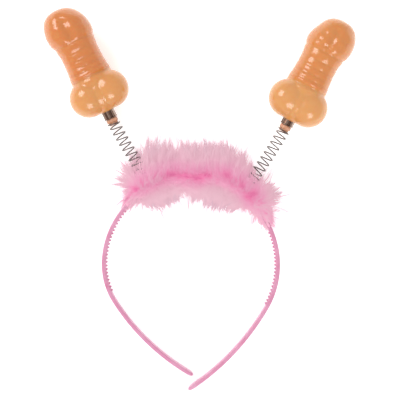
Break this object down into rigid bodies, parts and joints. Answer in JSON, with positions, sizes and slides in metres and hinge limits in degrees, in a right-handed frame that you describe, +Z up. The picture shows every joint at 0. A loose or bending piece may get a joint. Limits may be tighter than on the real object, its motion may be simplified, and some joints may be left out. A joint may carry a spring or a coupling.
{
  "type": "novelty headband",
  "caption": "Party headband: a springy plastic hair band with a downy feather trim over its crown and glossy bobbles of a comic adult shape that wobble on coil springs.",
  "frame": {"origin": "middle of the part's box on the surface that it lies on", "axes": "+Y from the band's tips to its crown and on along the springs, +X to the right as seen from above, +Z up from the surface"},
  "size_m": [0.2103, 0.2608, 0.032],
  "materials": {
    "band_plastic": "moulded satin",
    "marabou_down": "downy",
    "spring_wire": "drawn wire",
    "plug_plastic": "moulded",
    "ferrule_nickel": "nickel plate",
    "bopper_vinyl": "glossy translucent vinyl"
  },
  "bodies": {
    "root": {"band": "band_plastic", "marabou_trim": "marabou_down"},
    "left_spring": {"spring_left": "spring_wire"},
    "left_bobble": {"bopper_left": "bopper_vinyl", "ferrule_left": "ferrule_nickel", "plug_left": "plug_plastic"},
    "right_spring": {"spring_right": "spring_wire"},
    "right_bobble": {"bopper_right": "bopper_vinyl", "ferrule_right": "ferrule_nickel", "plug_right": "plug_plastic"}
  },
  "joints": [
    {"name": "left_sway", "type": "hinge", "parent": "root", "child": "left_spring", "pos_m": [-0.0455, 0.027, 0.0113], "axis": [0, 0, 1], "range_deg": [-35, 35], "stiffness_Nm_per_rad": 0.03, "deforming": ["spring_left"]},
    {"name": "left_nod", "type": "hinge", "parent": "left_spring", "child": "left_bobble", "pos_m": [-0.0528, 0.0411, 0.0119], "axis": [0.891, 0.454, 0], "range_deg": [0, 35], "stiffness_Nm_per_rad": 0.03, "deforming": ["spring_left"]},
    {"name": "right_sway", "type": "hinge", "parent": "root", "child": "right_spring", "pos_m": [0.042, 0.022, 0.0113], "axis": [0, 0, -1], "range_deg": [-35, 35], "stiffness_Nm_per_rad": 0.03, "deforming": ["spring_right"]},
    {"name": "right_nod", "type": "hinge", "parent": "right_spring", "child": "right_bobble", "pos_m": [0.0501, 0.0358, 0.0119], "axis": [0.8779, -0.4789, 0], "range_deg": [0, 35], "stiffness_Nm_per_rad": 0.03, "deforming": ["spring_right"]}
  ]
}
